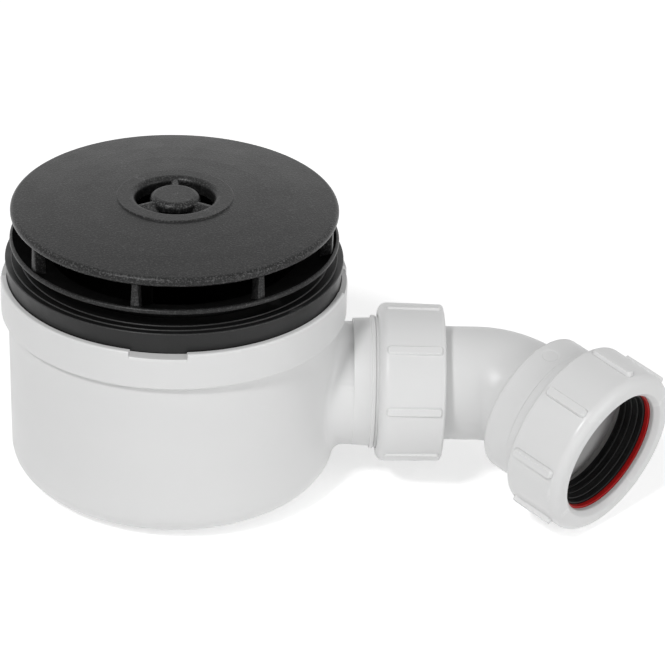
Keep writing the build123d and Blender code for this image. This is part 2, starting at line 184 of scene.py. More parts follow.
def boxLoft(name, middle, rows):  # each row: length, width, corner, height
    return toMesh(loft([roundedBox(middle, *row) for row in rows]), name)


def roundedBox(middle, length, width, corner, height, steps=5):
    points = []
    for cornerX, cornerY, start in ((1, 1, 0), (-1, 1, 90), (-1, -1, 180), (1, -1, 270)):
        for k in range(steps + 1):
            angle = radians(start + 90 * k / steps)
            points.append((
                middle + cornerX * (length / 2 - corner) + corner * cos(angle),
                cornerY * (width / 2 - corner) + corner * sin(angle),
                height,
            ))
    return points


def addObject(name, data):
    thing = bpy.data.objects.new(name, data)
    bpy.context.scene.collection.objects.link(thing)
    return thing


def meshFrom(bm, name):
    mesh = bpy.data.meshes.new(name)
    bm.to_mesh(mesh)
    bm.free()
    return mesh


def toMesh(bm, name):
    bmesh.ops.remove_doubles(bm, verts=bm.verts, dist=weldGap)
    bmesh.ops.recalc_face_normals(bm, faces=bm.faces)
    bmesh.ops.scale(bm, vec=(mm, mm, mm), verts=bm.verts)
    return meshFrom(bm, name)


def spunMesh(name, outline, angles, **how):
    return toMesh(spin(outline, angles, **how)[0], name)


def smoothStep(low, high, value):
    share = min(1.0, max(0.0, (value - low) / (high - low)))
    return share * share * (3 - 2 * share)


# node helpers: values go to input sockets, settings to the node itself
def addNode(tree, kind, values=None, **settings):
    node = tree.nodes.new(kind)
    for name, setting in settings.items():
        setattr(node, name, setting)
    setInputs(node, values or {})
    return node


def setInputs(node, values):
    for socket, value in values.items():
        node.inputs[socket].default_value = value


def wire(tree, *links):  # each link: node, output, node, input
    for source, output, target, socket in links:
        tree.links.new(source.outputs[output], target.inputs[socket])


def multiply(tree, value=0.5):
    return addNode(tree, "ShaderNodeMath", {1: value}, operation="MULTIPLY")


# one repeat tree serves every ring of like shapes: grip ribs, fins, webs, legs
def makeRepeatTree():
    tree = bpy.data.node_groups.new("repeatAround", "GeometryNodeTree")
    sockets = {}
    for label, kind in (("Shape", "Geometry"), ("Copies", "Int"), ("Turn", "Float"), ("Finish", "Material")):
        socket = tree.interface.new_socket(label, in_out="INPUT", socket_type="NodeSocket" + kind)
        sockets[label] = socket.identifier
    tree.interface.new_socket("Ring", in_out="OUTPUT", socket_type="NodeSocketGeometry")
    given = addNode(tree, "NodeGroupInput")
    points = addNode(tree, "GeometryNodePoints")
    index = addNode(tree, "GeometryNodeInputIndex")
    part = addNode(tree, "ShaderNodeMath", operation="DIVIDE")
    angle = addNode(tree, "ShaderNodeMath", {1: fullTurn}, operation="MULTIPLY_ADD")
    turnVector = addNode(tree, "ShaderNodeCombineXYZ")
    rotation = addNode(tree, "FunctionNodeEulerToRotation")
    place = addNode(tree, "GeometryNodeInstanceOnPoints")
    real = addNode(tree, "GeometryNodeRealizeInstances")
    weld = addNode(tree, "GeometryNodeMergeByDistance", {"Distance": seamGap * mm})
    paint = addNode(tree, "GeometryNodeSetMaterial")
    made = addNode(tree, "NodeGroupOutput")
    wire(
        tree,
        (given, "Copies", points, "Count"), (index, 0, part, 0), (given, "Copies", part, 1),
        (part, 0, angle, 0), (given, "Turn", angle, 2),
        (angle, 0, turnVector, "Z"), (turnVector, 0, rotation, 0),
        (points, 0, place, "Points"), (given, "Shape", place, "Instance"), (rotation, 0, place, "Rotation"),
        (place, 0, real, 0), (real, 0, weld, 0), (weld, 0, paint, "Geometry"),
        (given, "Finish", paint, "Material"), (paint, 0, made, 0),
    )
    return tree, sockets


repeatTree, repeatSockets = makeRepeatTree()


def repeatAround(mesh, copies, turnDeg, finish):
    holder = addObject(mesh.name + "Holder", mesh)
    copier = holder.modifiers.new("repeat", "NODES")
    copier.node_group = repeatTree
    copier[repeatSockets["Copies"]] = copies
    copier[repeatSockets["Turn"]] = radians(turnDeg)
    copier[repeatSockets["Finish"]] = finish
    graph = bpy.context.evaluated_depsgraph_get()
    ring = bpy.data.meshes.new_from_object(holder.evaluated_get(graph))
    holder.modifiers.remove(copier)
    bpy.data.objects.remove(holder)
    return ring


# joins the meshes of one moulding, puts them in place, and gives marked faces the painted-shade finish
def makePiece(name, meshes, place, finish, body, node, insideFinish=None):
    bm = bmesh.new()
    for mesh in meshes:
        bm.from_mesh(mesh)
    bmesh.ops.recalc_face_normals(bm, faces=bm.faces)
    seat = place.copy()
    seat.translation = place.translation * mm
    bmesh.ops.transform(bm, matrix=seat, verts=bm.verts)
    mark = bm.verts.layers.float.get("inside")
    for face in bm.faces:
        face.smooth = True
        face.material_index = 1 if insideFinish and all(v[mark] > 0.5 for v in face.verts) else 0
    mesh = meshFrom(bm, name)
    mesh.materials.append(finish)
    if insideFinish:
        mesh.materials.append(insideFinish)
    mesh.set_sharp_from_angle(angle=radians(sharpDeg))
    piece = addObject(name, mesh)
    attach(piece, body)
    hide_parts(node)
    print("piece:", name, len(mesh.polygons), "faces")


# shared shader groups; every socket is a plain number
def newGroup(name, inputs, outputs):
    group = bpy.data.node_groups.new(name, "ShaderNodeTree")
    for label, value in inputs.items():
        socket = group.interface.new_socket(label, in_out="INPUT", socket_type="NodeSocketFloat")
        socket.default_value = value
    for label in outputs:
        group.interface.new_socket(label, in_out="OUTPUT", socket_type="NodeSocketFloat")
    return group, addNode(group, "NodeGroupInput"), addNode(group, "NodeGroupOutput")


# spark-eroded mould grain: small pits of uneven size, as a height and a fleck mask
def makeGrainGroup():
    inputs = {"Grain": 1500.0, "Pits": 0.5, "Low": 0.35, "High": 0.65}
    group, given, made = newGroup("mouldGrain", inputs, ("Height", "Fleck"))
    coords = addNode(group, "ShaderNodeTexCoord")
    fine = addNode(group, "ShaderNodeTexNoise", {"Detail": 3.0, "Roughness": 0.6})
    pits = addNode(group, "ShaderNodeTexVoronoi")
    blend = addNode(group, "ShaderNodeMix")
    fleck = addNode(group, "ShaderNodeMapRange")
    wire(
        group,
        (coords, "Object", fine, "Vector"), (coords, "Object", pits, "Vector"),
        (given, "Grain", fine, "Scale"), (given, "Grain", pits, "Scale"),
        (given, "Pits", blend, 0), (fine, 0, blend, 2), (pits, "Distance", blend, 3),
        (fine, 0, fleck, "Value"), (given, "Low", fleck, "From Min"), (given, "High", fleck, "From Max"),
        (blend, 0, made, "Height"), (fleck, 0, made, "Fleck"),
    )
    return group


# slow drift of tone and gloss over a moulding, as flow in the melt leaves it
def makeDriftGroup():
    group, given, made = newGroup("meltDrift", {"Cloud": 40.0, "Streak": 3.0}, ("Tone", "Gloss"))
    coords = addNode(group, "ShaderNodeTexCoord")
    squeeze = addNode(group, "ShaderNodeMapping", {"Scale": (1.0, 1.0, 2.2)})
    cloud = addNode(group, "ShaderNodeTexNoise", {"Detail": 4.0})
    streak = addNode(group, "ShaderNodeTexNoise", {"Detail": 2.0})
    finer = multiply(group)
    wire(
        group,
        (coords, "Object", squeeze, "Vector"), (squeeze, 0, cloud, "Vector"), (given, "Cloud", cloud, "Scale"),
        (given, "Cloud", finer, 0), (given, "Streak", finer, 1),
        (coords, "Object", streak, "Vector"), (finer, 0, streak, "Scale"),
        (cloud, 0, made, "Tone"), (streak, 0, made, "Gloss"),
    )
    return group


# painted highlight on convex edges and painted shade in creases: masks from how the surface turns
def makeHighlightShadeGroup():
    group, given, made = newGroup("edgeHighlightCreaseShade", {"Start": 0.51, "Full": 0.6}, ("EdgeHighlight", "CreaseShade"))
    shape = addNode(group, "ShaderNodeNewGeometry")
    span = addNode(group, "ShaderNodeMapRange")
    dip = addNode(group, "ShaderNodeMapRange", {"From Min": 0.488, "From Max": 0.44})
    wire(
        group,
        (shape, "Pointiness", span, "Value"), (shape, "Pointiness", dip, "Value"),
        (given, "Start", span, "From Min"), (given, "Full", span, "From Max"),
        (span, 0, made, "EdgeHighlight"), (dip, 0, made, "CreaseShade"),
    )
    return group


grainGroup = makeGrainGroup()
driftGroup = makeDriftGroup()
highlightShadeGroup = makeHighlightShadeGroup()
glossRange = {"From Min": 0.3, "From Max": 0.7}  # where most of the noise lies
mixShare, mixUnder, mixOver, mixResult = 0, 6, 7, 2  # the colour sockets of a Mix node


def newMaterial(name, values):
    finish = bpy.data.materials.new(name)
    finish.use_nodes = True
    shader = finish.node_tree.nodes["Principled BSDF"]
    setInputs(shader, values)
    return finish, finish.node_tree, shader


def makeFinish(name, look):
    shine = {"IOR": look["ior"], "Specular IOR Level": look["specular"]}
    finish, tree, shader = newMaterial(name, shine)

    def place(group, values):
        return addNode(tree, "ShaderNodeGroup", values, node_tree=group)

    grain = place(grainGroup, {
        "Grain": look["grain"], "Pits": look["pits"], "Low": look["fleckLow"], "High": look["fleckHigh"],
    })
    drift = place(driftGroup, {"Cloud": look["cloud"]})
    edge = place(highlightShadeGroup, {"Start": look["edgeStart"], "Full": look["edgeFull"]})
    # grain flecks on convex edges: painted glints
    edgeGlint = multiply(tree)
    ends = {mixUnder: look["dark"] + (1.0,), mixOver: look["light"] + (1.0,)}
    tone = addNode(tree, "ShaderNodeMix", ends, data_type="RGBA")
    wire(
        tree,
        (drift, "Tone", tone, mixShare), (edge, "EdgeHighlight", edgeGlint, 0), (grain, "Fleck", edgeGlint, 1),
    )
    # layers over the tone: grain flecks, the painted edge highlight, and painted shade in creases
    for layer, mask, output in (("fleck", grain, "Fleck"), ("edge", edgeGlint, 0), ("creaseShade", edge, "CreaseShade")):
        share = multiply(tree, look[layer + "Share"])
        over = addNode(tree, "ShaderNodeMix", {mixOver: look[layer] + (1.0,)}, data_type="RGBA")
        wire(tree, (mask, output, share, 0), (share, 0, over, mixShare), (tone, mixResult, over, mixUnder))
        tone = over
    toRange = {"To Min": look["roughLow"], "To Max": look["roughHigh"]}
    rough = addNode(tree, "ShaderNodeMapRange", dict(glossRange, **toRange))
    bump = addNode(tree, "ShaderNodeBump", {"Strength": look["bump"], "Distance": look["bumpDepth"] * mm})
    wire(
        tree,
        (tone, mixResult, shader, "Base Color"),
        (drift, "Gloss", rough, "Value"), (rough, 0, shader, "Roughness"),
        (grain, "Height", bump, "Height"), (bump, 0, shader, "Normal"),
    )
    return finish


def grey(value):
    return (value, value, value)


# in every look, the edge layer is a painted highlight on convex edges and the crease layer is painted shade in
# creases; fleck is grain tone
whiteLook = {
    "dark": (0.765, 0.768, 0.768), "light": (0.795, 0.795, 0.792),
    "fleck": (0.74, 0.745, 0.745), "fleckShare": 0.10, "fleckLow": 0.35, "fleckHigh": 0.65,
    "edge": (0.86, 0.86, 0.857), "edgeShare": 0.8, "edgeStart": 0.508, "edgeFull": 0.53,
    "creaseShade": grey(0.42), "creaseShadeShare": 0.6,
    "roughLow": 0.30, "roughHigh": 0.40, "ior": 1.49, "specular": 0.45,
    "grain": 1400.0, "pits": 0.2, "cloud": 26.0, "bump": 0.10, "bumpDepth": 0.05,
}
blackLook = {
    "dark": (0.008, 0.008, 0.0082), "light": grey(0.011),
    "fleck": grey(0.07), "fleckShare": 0.55, "fleckLow": 0.50, "fleckHigh": 0.66,
    "edge": grey(0.13), "edgeShare": 0.6, "edgeStart": 0.509, "edgeFull": 0.516,
    "creaseShade": grey(0.004), "creaseShadeShare": 0.5,
    "roughLow": 0.28, "roughHigh": 0.36, "ior": 1.5, "specular": 0.24,
    "grain": 1700.0, "pits": 0.35, "cloud": 30.0, "bump": 0.8, "bumpDepth": 0.12,
}
rubberLook = {
    "dark": grey(0.007), "light": (0.009, 0.009, 0.0092),
    "fleck": grey(0.015), "fleckShare": 0.25, "fleckLow": 0.35, "fleckHigh": 0.65,
    "edge": grey(0.05), "edgeShare": 1.0, "edgeStart": 0.506, "edgeFull": 0.52,
    "creaseShade": grey(0.003), "creaseShadeShare": 0.5,
    "roughLow": 0.32, "roughHigh": 0.45, "ior": 1.5, "specular": 0.33,
    "grain": 1700.0, "pits": 0.3, "cloud": 50.0, "bump": 0.3, "bumpDepth": 0.07,
}
redLook = {
    "dark": (0.50, 0.008, 0.008), "light": (0.56, 0.012, 0.011),
    "fleck": (0.27, 0.01, 0.01), "fleckShare": 0.2, "fleckLow": 0.35, "fleckHigh": 0.65,
    "edge": (0.45, 0.04, 0.035), "edgeShare": 0.3, "edgeStart": 0.51, "edgeFull": 0.6,
    "creaseShade": (0.12, 0.006, 0.006), "creaseShadeShare": 0.5,
    "roughLow": 0.32, "roughHigh": 0.42, "ior": 1.49, "specular": 0.25,
    "grain": 1400.0, "pits": 0.2, "cloud": 60.0, "bump": 0.12, "bumpDepth": 0.05,
}
# the flange ring's bright edge line is a painted highlight
flangeLook = dict(blackLook, edge=grey(0.11), edgeShare=0.45, fleckShare=0.2, bump=0.6)
# painted shade: a near-black, nearly matt finish for surfaces in the shade under the cover
dishShadeLook = dict(
    blackLook, dark=grey(0.002), light=grey(0.003), fleck=grey(0.006),
    edgeShare=0.0, specular=0.02, roughLow=0.7, roughHigh=0.8,
)
# painted shade: the inside of the bend's bore and socket is a greyer, duller white
boreShadeLook = dict(
    whiteLook, dark=grey(0.52), light=(0.55, 0.55, 0.545), fleck=grey(0.48),
    edgeShare=0.0, specular=0.15, roughLow=0.5, roughHigh=0.6,
)
# painted shade: the notch floor is a darker grey
notchShadeLook = dict(
    whiteLook, dark=grey(0.44), light=(0.48, 0.48, 0.475), fleck=grey(0.40),
    edgeShare=0.0, roughLow=0.45, roughHigh=0.55,
)
pipeSealLook = dict(rubberLook, edge=grey(0.03), edgeShare=0.5, specular=0.17)
whiteFinish = makeFinish("whiteMoulding", whiteLook)
blackFinish = makeFinish("blackMoulding", blackLook)
flangeFinish = makeFinish("blackFlange", flangeLook)
dishShadeFinish = makeFinish("paintedDishShade", dishShadeLook)
boreShadeFinish = makeFinish("paintedBoreShade", boreShadeLook)
notchShadeFinish = makeFinish("paintedNotchShade", notchShadeLook)
rubberFinish = makeFinish("sealRubber", rubberLook)
pipeSealFinish = makeFinish("pipeSealRubber", pipeSealLook)
redFinish = makeFinish("redWasher", redLook)
# of these, the bore, the notch and the dish finishes are painted shade
print("finishes: white, its bore and notch, three blacks, two rubbers, red")

# trap bowl with the outlet neck on its side
bowl = {
    "wall": 2.8, "floor": 3.0, "baseRadius": 55.1, "shoulderRadius": 55.4, "baseRound": 9.5, "shoulder": 58.6,
    "columns": 192, "rowStep": 2.0, "arcSteps": 12, "rimGap": 0.5, "footGap": 0.3,
    "windowAngle": 33.75, "windowLow": 3.6, "windowHigh": 56.0, "innerLow": 10.5, "innerHigh": 53.5,
    "wallSteps": 5, "blendSteps": 9, "boreSteps": 4,
    "neckSide": 21.45, "neckTop": 20.2, "neckBlend": 4.0, "neckBore": 17.6, "neckEnd": 82.0,
    "collarStart": 60.4, "collarRadius": 21.6, "collarFlare": 0.25, "collarRound": 0.4, "collarLow": 19.2,
    "beadStart": 66.4, "beadWidth": 1.5, "beadRadius": 22.7, "beadRound": 0.4, "beadFoot": 0.25,
    "threadRadius": 22.2, "threadFoot": 0.2, "endRound": 0.8, "boreRound": 0.4,
}
cupRib = {
    "copies": 3, "turn": 60.0, "near": 38.15, "length": 5.0, "width": 2.0, "top": 9.0,
    "root": 1.0, "round": 0.4, "taper": 0.5, "tipRound": 0.3,
}


def bowlRadius(height):
    base, arc = bowl["baseRadius"], bowl["baseRound"]
    if height < arc:
        return base - arc + sqrt(arc ** 2 - (arc - height) ** 2)
    share = (height - arc) / (bowl["shoulder"] - arc)
    return base + (bowl["shoulderRadius"] - base) * share


def bowlInner(height):
    return bowlRadius(max(height, bowl["baseRound"])) - bowl["wall"]


# the outer and inner walls leave a window of equal rows, where the neck is let in
def bowlOutline():
    arc, low, high = bowl["baseRound"], bowl["innerLow"], bowl["innerHigh"]
    arcMiddle = bowl["baseRadius"] - arc
    inner = bowl["shoulderRadius"] - bowl["wall"]
    outer = [Vector((0, 0)), Vector((arcMiddle - holdRow, 0))]
    for k in range(bowl["arcSteps"] + 1):
        swing = radians(90 * k / bowl["arcSteps"])
        outer.append(Vector((arcMiddle + arc * sin(swing), arc * (1 - cos(swing)))))
    climb = bowl["windowHigh"] - arc
    rows = ceil(climb / bowl["rowStep"])
    for k in range(1, rows + 1):
        height = arc + climb * k / rows
        outer.append(Vector((bowlRadius(height), height)))
    lowRow = next(i for i, p in enumerate(outer) if i > 1 and p.y > bowl["windowLow"])
    highRow = len(outer) - 1
    rimStart = bowl["windowHigh"] + bowl["rimGap"]
    rim = profile(bowl, [
        (bowlRadius(rimStart), rimStart), ("shoulderRadius", "shoulder"), (inner, "shoulder"),
        (inner, high + bowl["rimGap"]),
    ], closed=False)
    count = highRow - lowRow
    heights = [high + (low - high) * k / count for k in range(count + 1)]
    innerRows = [Vector((bowlInner(height), height)) for height in heights]
    foot = profile(bowl, [
        (bowlInner(low), low - bowl["footGap"]), (bowlInner(0), "floor", arc - bowl["wall"]), (0, "floor"),
    ], closed=False)
    innerStart = len(outer) + len(rim)
    return outer + rim + innerRows + foot, (lowRow, highRow), (innerStart, innerStart + count)


def windowLoop(rings, rows, columns):
    low, high = rows
    loop = [rings[low][c] for c in columns]
    loop += [rings[r][columns[-1]] for r in range(low + 1, high + 1)]
    loop += [rings[high][c] for c in reversed(columns[:-1])]
    return loop + [rings[r][columns[0]] for r in range(high - 1, low, -1)]


def loopPlaces(loop):  # each point's turn about the neck, and its swing and height on the wall
    turns = [atan2(v.co.z - outlet["height"], v.co.y) for v in loop]
    return turns, [(atan2(v.co.y, v.co.x), v.co.z) for v in loop]


# the neck's section: a circle below, a little flattened above
def neckPoint(turn):
    rise = bowl["neckTop"] if turn > 0 else bowl["neckSide"]
    return Vector((bowl["neckSide"] * cos(turn), rise * sin(turn)))


def neckNormal(turn):
    rise = bowl["neckTop"] if turn > 0 else bowl["neckSide"]
    return Vector((rise * cos(turn), bowl["neckSide"] * sin(turn))).normalized()


# the ball that rolls in the corner between bowl and neck: its middle and where it touches
def blendBall(turn):
    ball, arc = bowl["neckBlend"], bowl["baseRound"]
    foot = neckPoint(turn)
    y, rise = foot + neckNormal(turn) * ball
    z = outlet["height"] + rise
    if z < arc:
        arcMiddle = bowl["baseRadius"] - arc
        drop = arc - z
        radius = arcMiddle + sqrt((arc + ball) ** 2 - drop ** 2)
        share = arc / (arc + ball)
        touch = (arcMiddle + (radius - arcMiddle) * share, arc - drop * share)
    else:
        radius = bowlRadius(z) + ball
        touch = (bowlRadius(z), z)
    middle = Vector((sqrt(radius ** 2 - y ** 2), y, z))
    onNeck = Vector((middle.x, foot.x, outlet["height"] + foot.y))
    return middle, atan2(y, middle.x), touch, onNeck


# rows on the wall from the window's edge to a line of (swing, height)
def wallRings(places, line, steps, radiusAt):
    rings = []
    for k in range(1, steps + 1):
        ring = []
        for (fromSwing, fromHeight), (swing, height) in zip(places, line):
            z = fromHeight + (height - fromHeight) * k / steps
            ring.append(polar(radiusAt(z), fromSwing + (swing - fromSwing) * k / steps, z))
        rings.append(ring)
    return rings


def neckRings(turns, places):
    balls = [blendBall(turn) for turn in turns]
    line = [(swing, touch[1]) for middle, swing, touch, onNeck in balls]
    rings = wallRings(places, line, bowl["wallSteps"], bowlRadius)
    for k in range(1, bowl["blendSteps"] + 1):
        ring = []
        for middle, swing, touch, onNeck in balls:
            start = (polar(touch[0], swing, touch[1]) - middle).normalized()
            stop = (onNeck - middle).normalized()
            ring.append(middle + start.slerp(stop, k / bowl["blendSteps"]) * bowl["neckBlend"])
        rings.append(ring)
    rings.append([Vector((bowl["collarStart"], p.x, outlet["height"] + p.y)) for p in map(neckPoint, turns)])
    beadEnd = bowl["beadStart"] + bowl["beadWidth"]
    collar = profile(bowl, [
        ("neckTop", "collarStart"), ("collarRadius", "collarStart", "collarRound"),
        (bowl["collarRadius"] + bowl["collarFlare"], "beadStart", "beadFoot"),
        ("beadRadius", "beadStart", "beadRound"), ("beadRadius", beadEnd, "beadRound"),
        ("threadRadius", beadEnd, "threadFoot"), ("threadRadius", "neckEnd", "endRound"),
        ("neckBore", "neckEnd", "boreRound"), ("neckBore", "collarStart"),
    ], closed=False)
    return rings + [[collarPoint(turn, p) for turn in turns] for p in collar]


# a point of the collar's outline, held out to the neck where the collar's first rows lie under it
def collarPoint(turn, point):
    across = polar(point.x, turn)
    neck = neckPoint(turn)
    if bowl["collarLow"] < point.x < neck.length:
        across = neck
    return Vector((point.y, across.x, outlet["height"] + across.y))


def boreLine(turns):
    line = []
    for turn in turns:
        z = outlet["height"] + bowl["neckBore"] * sin(turn)
        line.append((asin(bowl["neckBore"] * cos(turn) / bowlInner(z)), z))
    return line


# joins two rings of one bore whose points stand at different turns
def stitch(bm, near, far):
    def byTurn(ring):
        return sorted(ring, key=lambda v: atan2(v.co.z - outlet["height"], v.co.y))

    first, second = byTurn(near), byTurn(far)
    i = j = 0
    while i < len(first) or j < len(second):
        a, b = first[i % len(first)], second[j % len(second)]
        if j >= len(second) or (i < len(first) and (i + 1) / len(first) <= (j + 1) / len(second)):
            i += 1
            bm.faces.new((a, first[i % len(first)], b))
        else:
            j += 1
            bm.faces.new((a, second[j % len(second)], b))


def makeBowl():
    outline, outerRows, innerRows = bowlOutline()
    angles = evenAngles(bowl["columns"])
    bm, rings = spin(outline, angles)
    window = radians(bowl["windowAngle"]) + angleSlack
    columns = [i for i, a in enumerate(angles) if a > fullTurn - window]
    columns += [i for i, a in enumerate(angles) if a < window]
    outerLoop = windowLoop(rings, outerRows, columns)
    innerLoop = windowLoop(rings, innerRows, columns)
    cut = []
    for low, high in (outerRows, innerRows):
        cut += [rings[r][c] for r in range(low + 1, high) for c in columns[1:-1]]
    skin = neckRings(*loopPlaces(outerLoop))
    innerTurns, innerPlaces = loopPlaces(innerLoop)
    bore = wallRings(innerPlaces, boreLine(innerTurns), bowl["boreSteps"], bowlInner)
    bmesh.ops.delete(bm, geom=cut, context="VERTS")
    ends = []
    for near, rows in ((outerLoop, skin), (innerLoop, bore)):
        for row in rows:
            far = [bm.verts.new(p) for p in row]
            bridge(bm, near, far)
            near = far
        ends.append(near)
    stitch(bm, *ends)
    return toMesh(bm, "bowl")


def makeCupRib():
    length, width = cupRib["length"], cupRib["width"]
    return boxLoft("cupRib", cupRib["near"] + length / 2, [
        (length, width, cupRib["round"], bowl["floor"] - cupRib["root"]),
        (length, width, cupRib["round"], cupRib["top"] - cupRib["round"]),
        (length - cupRib["taper"], width - cupRib["taper"], cupRib["tipRound"], cupRib["top"]),
    ])


cupRibs = repeatAround(makeCupRib(), cupRib["copies"], cupRib["turn"], whiteFinish)
makePiece("trapBowl", [makeBowl(), cupRibs], upright, whiteFinish, "trap", "trap_body")

# inlet ring on the bowl: the seal's groove between a notched lip and the threaded sleeve
inlet = {
    "rimRadius": 57.8, "rimBore": 55.75, "rimFloor": 2.6, "rimRound": 0.6,
    "lip": 71.4, "lipRound": 0.7, "lipInner": 0.2, "upperRadius": 53.0, "deck": 74.2, "deckRound": 1.0,
    "sleeveBore": 44.6, "sleeveBottom": 57.0, "sleeveTop": 0.5, "sleeveRound": 0.4,
    "spigotDepth": 2.0, "spigotPlay": 0.2, "spigotRound": 0.6,
    "columns": 224, "rowStep": 0.8, "rowsFrom": 55.65,
}
notch = {
    "copies": 4, "angle": 18.5, "turn": -94.0, "inside": 0.5, "outside": 2.1, "ramp": 0.3, "reach": 4.0,
    "rampColumns": (-0.5, 0, 0.33, 0.67, 1, 1.5),
}
grooveFloor = bowl["shoulder"] + inlet["rimFloor"]
notchHalf = radians(notch["angle"]) / 2
notchRamp = notch["ramp"] / inlet["rimRadius"]
notchPitch = fullTurn / notch["copies"]


def inletOutline():
    upperBore = inlet["upperRadius"] - bowl["wall"]
    spigot = bowl["shoulderRadius"] - bowl["wall"] - inlet["spigotPlay"]
    spigotBottom = bowl["shoulder"] - inlet["spigotDepth"]
    sleeve = inlet["sleeveBore"] + bowl["wall"]
    deckUnder = inlet["deck"] - bowl["wall"]
    return profile(inlet, [
        (upperBore, spigotBottom), (spigot, spigotBottom, "spigotRound"), (spigot, bowl["shoulder"]),
        ("rimRadius", bowl["shoulder"], "rimRound"), ("rimRadius", "lip", "lipRound"),
        ("rimBore", "lip", "lipInner"), ("rimBore", grooveFloor), ("upperRadius", grooveFloor),
        ("upperRadius", "deck", "deckRound"), ("sleeveBore", "deck", "sleeveTop"),
        ("sleeveBore", "sleeveBottom", "sleeveRound"), (sleeve, "sleeveBottom", "sleeveRound"),
        (sleeve, deckUnder), (upperBore, deckUnder),
    ], inlet["rowStep"], inlet["rowsFrom"])


# the lip drops in four notches, deeper at the outside than at the seal
def notchShare(angle):
    off = (angle - radians(notch["turn"]) + notchPitch / 2) % notchPitch - notchPitch / 2
    return smoothStep(notchHalf + notchRamp, notchHalf, abs(off))


# faces of the notch floor that get the painted-shade finish
def inNotch(radius, height, angle):
    onLip = inlet["rimBore"] - nearly < radius < inlet["rimRadius"] - inlet["lipRound"] / 2
    return onLip and height > inlet["lip"] - inlet["lipRound"] and notchShare(angle) > 0.5


def notchDrop(radius, height, angle):
    share = notchShare(angle)
    top = (height - inlet["lip"] + notch["reach"]) / (notch["reach"] - inlet["lipRound"])
    if share == 0 or top <= 0 or radius < inlet["rimBore"] - nearly or height > inlet["lip"] + nearly:
        return radius, height
    out = (radius - inlet["rimBore"]) / (inlet["rimRadius"] - inlet["rimBore"])
    depth = notch["inside"] + (notch["outside"] - notch["inside"]) * out
    return radius, height - depth * share * min(1.0, top)


def inletAngles(digits=6):
    angles = set(round(a, digits) for a in evenAngles(inlet["columns"]))
    for i in range(notch["copies"]):
        middle = radians(notch["turn"]) + notchPitch * i
        for share in notch["rampColumns"]:
            for side in (1, -1):
                angles.add(round((middle + side * (notchHalf + notchRamp * share)) % fullTurn, digits))
    return sorted(angles)


inletMesh = spunMesh("inletRing", inletOutline(), inletAngles(), shape=notchDrop, inside=inNotch)
makePiece("inletRing", [inletMesh], upright, whiteFinish, "trap", "inlet_ring", notchShadeFinish)

# seal between the bowl and the tray, with two sealing beads on its top
traySeal = {
    "bore": 45.6, "height": 78.05, "topRadius": 56.2, "edgeRound": 0.4, "play": 0.2, "columns": 224,
    "beadRadius": 0.35, "beadInsets": (2.3, 5.2), "beadSteps": 12,
}


def traySealOutline():
    skirtBore = inlet["upperRadius"] + traySeal["play"]
    skirt = inlet["rimBore"] - traySeal["play"]
    outline = profile(traySeal, [
        (skirtBore, inlet["deck"]), (skirtBore, grooveFloor), (skirt, grooveFloor), (skirt, inlet["lip"]),
        ("topRadius", "height", "edgeRound"), ("bore", "height"), ("bore", inlet["deck"]),
    ])
    beads = []
    for inset in traySeal["beadInsets"]:
        middle = Vector((traySeal["topRadius"] - inset, traySeal["height"]))
        beads += arcPoints(middle, traySeal["beadRadius"], 0, traySeal["beadSteps"])
    onTop = [i for i, p in enumerate(outline) if abs(p.y - traySeal["height"]) < weldGap and p.x > beads[0].x]
    return outline[:onTop[-1] + 1] + beads + outline[onTop[-1] + 1:]


sealMesh = spunMesh("traySeal", traySealOutline(), evenAngles(traySeal["columns"]))
makePiece("traySeal", [sealMesh], upright, rubberFinish, "trap", "body_seal")

# clamp flange that screws down through the tray, with fins that carry the cover
flange = {
    "radius": 54.5, "under": 83.75, "thickness": 1.8, "flatRadius": 52.4, "underRound": 0.5, "edgeGap": 0.01,
    "dishRadius": 53.6, "dishFall": 4.6, "dishUnder": 80.3, "dishSlack": 0.05, "dishSkin": 1.0,
    "skirt": 44.3, "throat": 41.4, "throatRound": 2.2, "columns": 224,
    "ledgeWidth": 2.6, "ledgeThickness": 2.4, "ledgeRound": 0.3, "bottom": 60.0, "bottomRound": 1.0,
}
fin = {
    "copies": 8, "turn": -12.5, "outer": 53.2, "length": 4.0, "foot": 3.0, "top": 2.0,
    "root": 0.7, "round": 0.4, "waist": 0.97, "waistRise": 0.3,
}
cover = {
    "radius": 54.15, "thickness": 3.2, "edgeRound": 1.59, "under": 93.25, "dome": 2.55,
    "kneeRadius": 36.0, "kneeRise": 1.95, "kneeRound": 400.0,
    "recess": 46.0, "recessDepth": 1.5, "recessRound": 0.5, "recessEdge": 0.3, "rowStep": 3.0, "columns": 224,
    "bossRadius": 19.25, "bossHeight": 0.6, "bossRound": 0.3, "bossFoot": 0.3,
    "hole": 13.0, "holeRound": 2.0, "holeUnder": 0.4,
}
ringTop = flange["under"] + flange["thickness"]
coverTop = cover["under"] + cover["thickness"]
recessTop = cover["under"] + cover["recessDepth"]
bossTop = coverTop + cover["dome"] + cover["bossHeight"]


def dishHeight(radius):
    share = (flange["dishRadius"] - radius) / (flange["dishRadius"] - flange["throat"])
    return ringTop - flange["dishFall"] * share


def flangeOutline():
    edge = flange["thickness"] / 2 - flange["edgeGap"]
    ledgeTop = flange["bottom"] + flange["ledgeThickness"]
    ledge = flange["throat"] - flange["ledgeWidth"]
    return profile(flange, [
        ("skirt", "dishUnder", "underRound"), ("flatRadius", "under", "underRound"),
        ("radius", "under", edge), ("radius", ringTop, edge), ("dishRadius", ringTop),
        ("throat", dishHeight(flange["throat"]), "throatRound"), ("throat", ledgeTop),
        (ledge, ledgeTop, "ledgeRound"), (ledge, "bottom", "ledgeRound"),
        ("skirt", "bottom", "bottomRound"),
    ])


